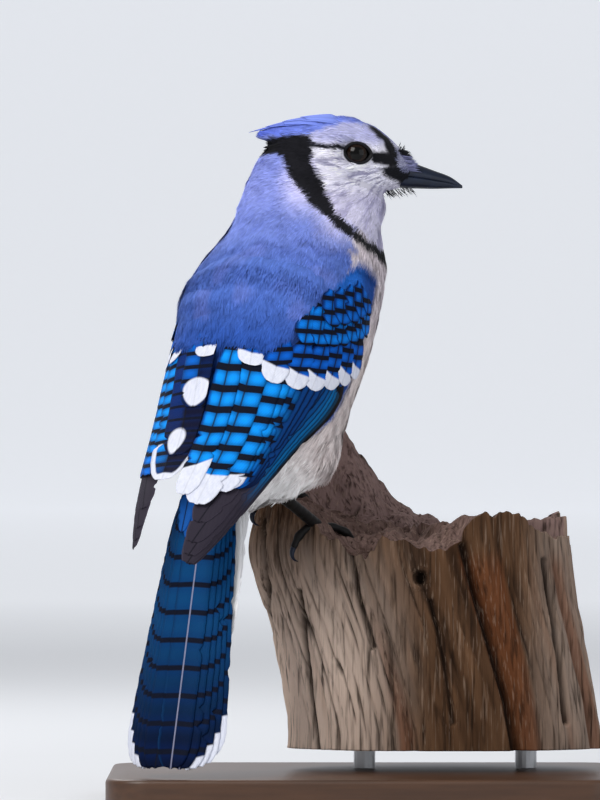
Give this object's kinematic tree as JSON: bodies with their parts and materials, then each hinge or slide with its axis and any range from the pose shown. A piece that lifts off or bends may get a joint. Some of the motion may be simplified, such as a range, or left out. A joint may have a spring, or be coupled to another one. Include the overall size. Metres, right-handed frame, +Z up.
{
  "type": "blue jay",
  "caption": "Life-size still model of a blue jay seen from behind its right side, gripping the broken rim of a weathered trunk on a plain display stand.",
  "frame": {"origin": "middle of the underside of the display base, on the floor", "axes": "+Z up; +X the way the bill points, give or take 5 degrees; -Y towards the camera of the picture"},
  "size_m": [0.19, 0.146, 0.2535],
  "materials": {
    "breast": "soft pale grey-white body feathers",
    "mantle": "soft lavender-blue body feathers",
    "crest": "soft lavender-blue crest feathers",
    "flight": "smooth barred blue flight and tail feathers",
    "horn": "smooth black horn",
    "scute": "black scaled skin",
    "eye": "wet dark brown eye",
    "bark_free_wood": "weathered grey-brown wood without bark",
    "base_wood": "satin dark wood",
    "rod_steel": "brushed steel"
  },
  "bodies": {
    "root": {"torso": "breast", "neck": "mantle", "head": "mantle", "crest": "crest", "bill_upper": "horn", "bill_lower": "horn", "eye_right": "eye", "eye_left": "eye", "wing_right": "flight", "wing_left": "flight", "tail": "flight", "thigh_right": "breast", "tarsus_right": "scute", "foot_right": "scute", "claw_right_inner": "horn", "claw_right_middle": "horn", "claw_right_outer": "horn", "claw_right_hind": "horn", "thigh_left": "breast", "tarsus_left": "scute", "foot_left": "scute", "claw_left_inner": "horn", "claw_left_middle": "horn", "claw_left_outer": "horn", "claw_left_hind": "horn", "perch_trunk": "bark_free_wood", "stand_base": "base_wood", "stand_rod_left": "rod_steel", "stand_rod_right": "rod_steel"}
  },
  "joints": []
}
